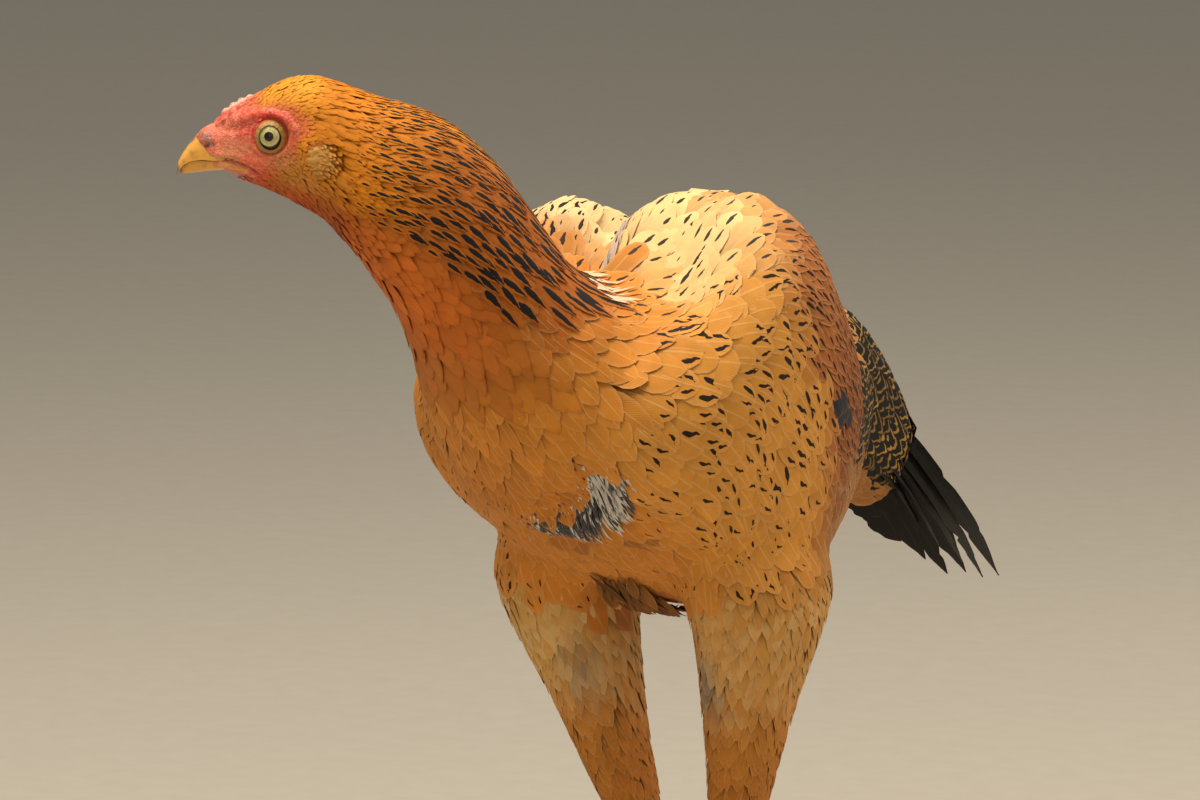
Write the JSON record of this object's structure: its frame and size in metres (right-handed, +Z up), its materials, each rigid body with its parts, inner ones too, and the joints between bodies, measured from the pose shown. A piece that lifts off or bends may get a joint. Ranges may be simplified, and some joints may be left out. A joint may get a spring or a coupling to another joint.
{
  "type": "game hen",
  "caption": "Life-size long-legged game hen standing still, neck stretched forward, head turned to her right, tail carried low.",
  "frame": {"origin": "on the floor, under the middle of the whole bird's box", "axes": "+Z up, the bird's breast faces -Y and her left side is towards +X; her head is turned to her right, towards -X"},
  "size_m": [0.2022, 0.507, 0.4567],
  "materials": {
    "plumage": "soft feathers, golden orange with small black marks, matt",
    "bare_skin": "bare face and comb, red to pink, soft sheen",
    "horn": "horn of bill and claws, satin",
    "leg_scales": "yellow horny scutes, satin",
    "tail_black": "black feathers with a slight sheen",
    "eye_gloss": "wet eye with a pale straw iris"
  },
  "bodies": {
    "root": {"trunk": "plumage", "neck": "plumage", "wing_left": "plumage", "wing_right": "plumage", "thigh_left": "plumage", "thigh_right": "plumage", "ear_left": "plumage", "ear_right": "plumage", "head": "bare_skin", "comb": "bare_skin", "bill_upper": "horn", "bill_lower": "horn", "claw_left_inner": "horn", "claw_left_middle": "horn", "claw_left_outer": "horn", "claw_left_hind": "horn", "claw_right_inner": "horn", "claw_right_middle": "horn", "claw_right_outer": "horn", "claw_right_hind": "horn", "shank_left": "leg_scales", "shank_right": "leg_scales", "toe_left_inner": "leg_scales", "toe_left_middle": "leg_scales", "toe_left_outer": "leg_scales", "toe_left_hind": "leg_scales", "toe_right_inner": "leg_scales", "toe_right_middle": "leg_scales", "toe_right_outer": "leg_scales", "toe_right_hind": "leg_scales", "tail_coverts": "tail_black", "tail_feather_left_1": "tail_black", "tail_feather_left_2": "tail_black", "tail_feather_left_3": "tail_black", "tail_feather_left_4": "tail_black", "tail_feather_left_5": "tail_black", "tail_feather_right_1": "tail_black", "tail_feather_right_2": "tail_black", "tail_feather_right_3": "tail_black", "tail_feather_right_4": "tail_black", "tail_feather_right_5": "tail_black", "eye_left": "eye_gloss", "eye_right": "eye_gloss"}
  },
  "joints": []
}
